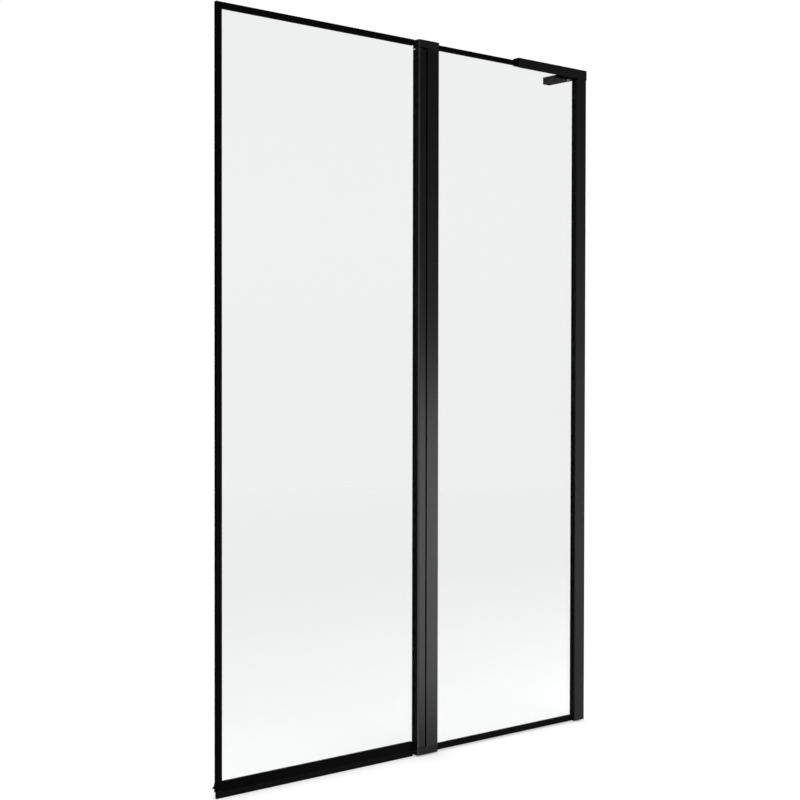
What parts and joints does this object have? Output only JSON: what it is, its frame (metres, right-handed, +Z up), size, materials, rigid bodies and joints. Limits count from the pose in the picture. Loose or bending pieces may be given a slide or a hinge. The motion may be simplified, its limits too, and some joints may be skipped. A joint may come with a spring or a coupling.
{
  "type": "hinged bath screen",
  "caption": "Framed glass bath screen with a fixed panel, wall profile and top brace, and an outer panel that swings on a round pivot post.",
  "frame": {"origin": "pivot axis of the door, at the plane of the bath rim that the fixed pieces stand on", "axes": "+X along the closed screen towards the wall, +Y into the bath, +Z up along the pivot axis"},
  "size_m": [0.947, 0.1125, 1.4021],
  "materials": {
    "frame": "satin black powder coat on aluminium",
    "plastic": "fine matt black",
    "seal": "matt black soft seal",
    "glass": "clear toughened glass, faintly green",
    "stainless": "plain stainless steel",
    "key_metal": "as extruded",
    "bush": "natural acetal"
  },
  "bodies": {
    "fixed_screen": {"wall_channel": "frame", "wall_stile": "frame", "wall_stile_cap": "plastic", "adjusting_screws": "stainless", "screw_covers": "plastic", "fixed_top_rail": "frame", "fixed_bottom_rail": "frame", "fixed_glass": "glass", "fixed_gaskets": "seal", "fixed_corner_keys": "key_metal", "hinge_post": "frame", "top_cap": "plastic", "bottom_cap": "plastic", "cap_screws": "stainless", "pivot_pins": "stainless", "hinge_gap_seal": "seal", "brace_bar": "frame", "brace_leg": "frame", "brace_lock_screw": "stainless", "brace_grub_screws": "stainless"},
    "door": {"hinge_barrel": "frame", "pivot_bushes": "bush", "outer_stile": "frame", "stile_end_caps": "plastic", "door_top_rail": "frame", "door_bottom_rail": "frame", "rail_end_plugs": "plastic", "door_glass": "glass", "door_gaskets": "seal", "door_corner_keys": "key_metal", "seal_carrier": "plastic", "rim_seal": "seal"}
  },
  "joints": [
    {"name": "door_pivot", "type": "hinge", "parent": "fixed_screen", "child": "door", "pos_m": [0, 0, 0], "axis": [0, 0, 1], "range_deg": [-90, 90]}
  ]
}
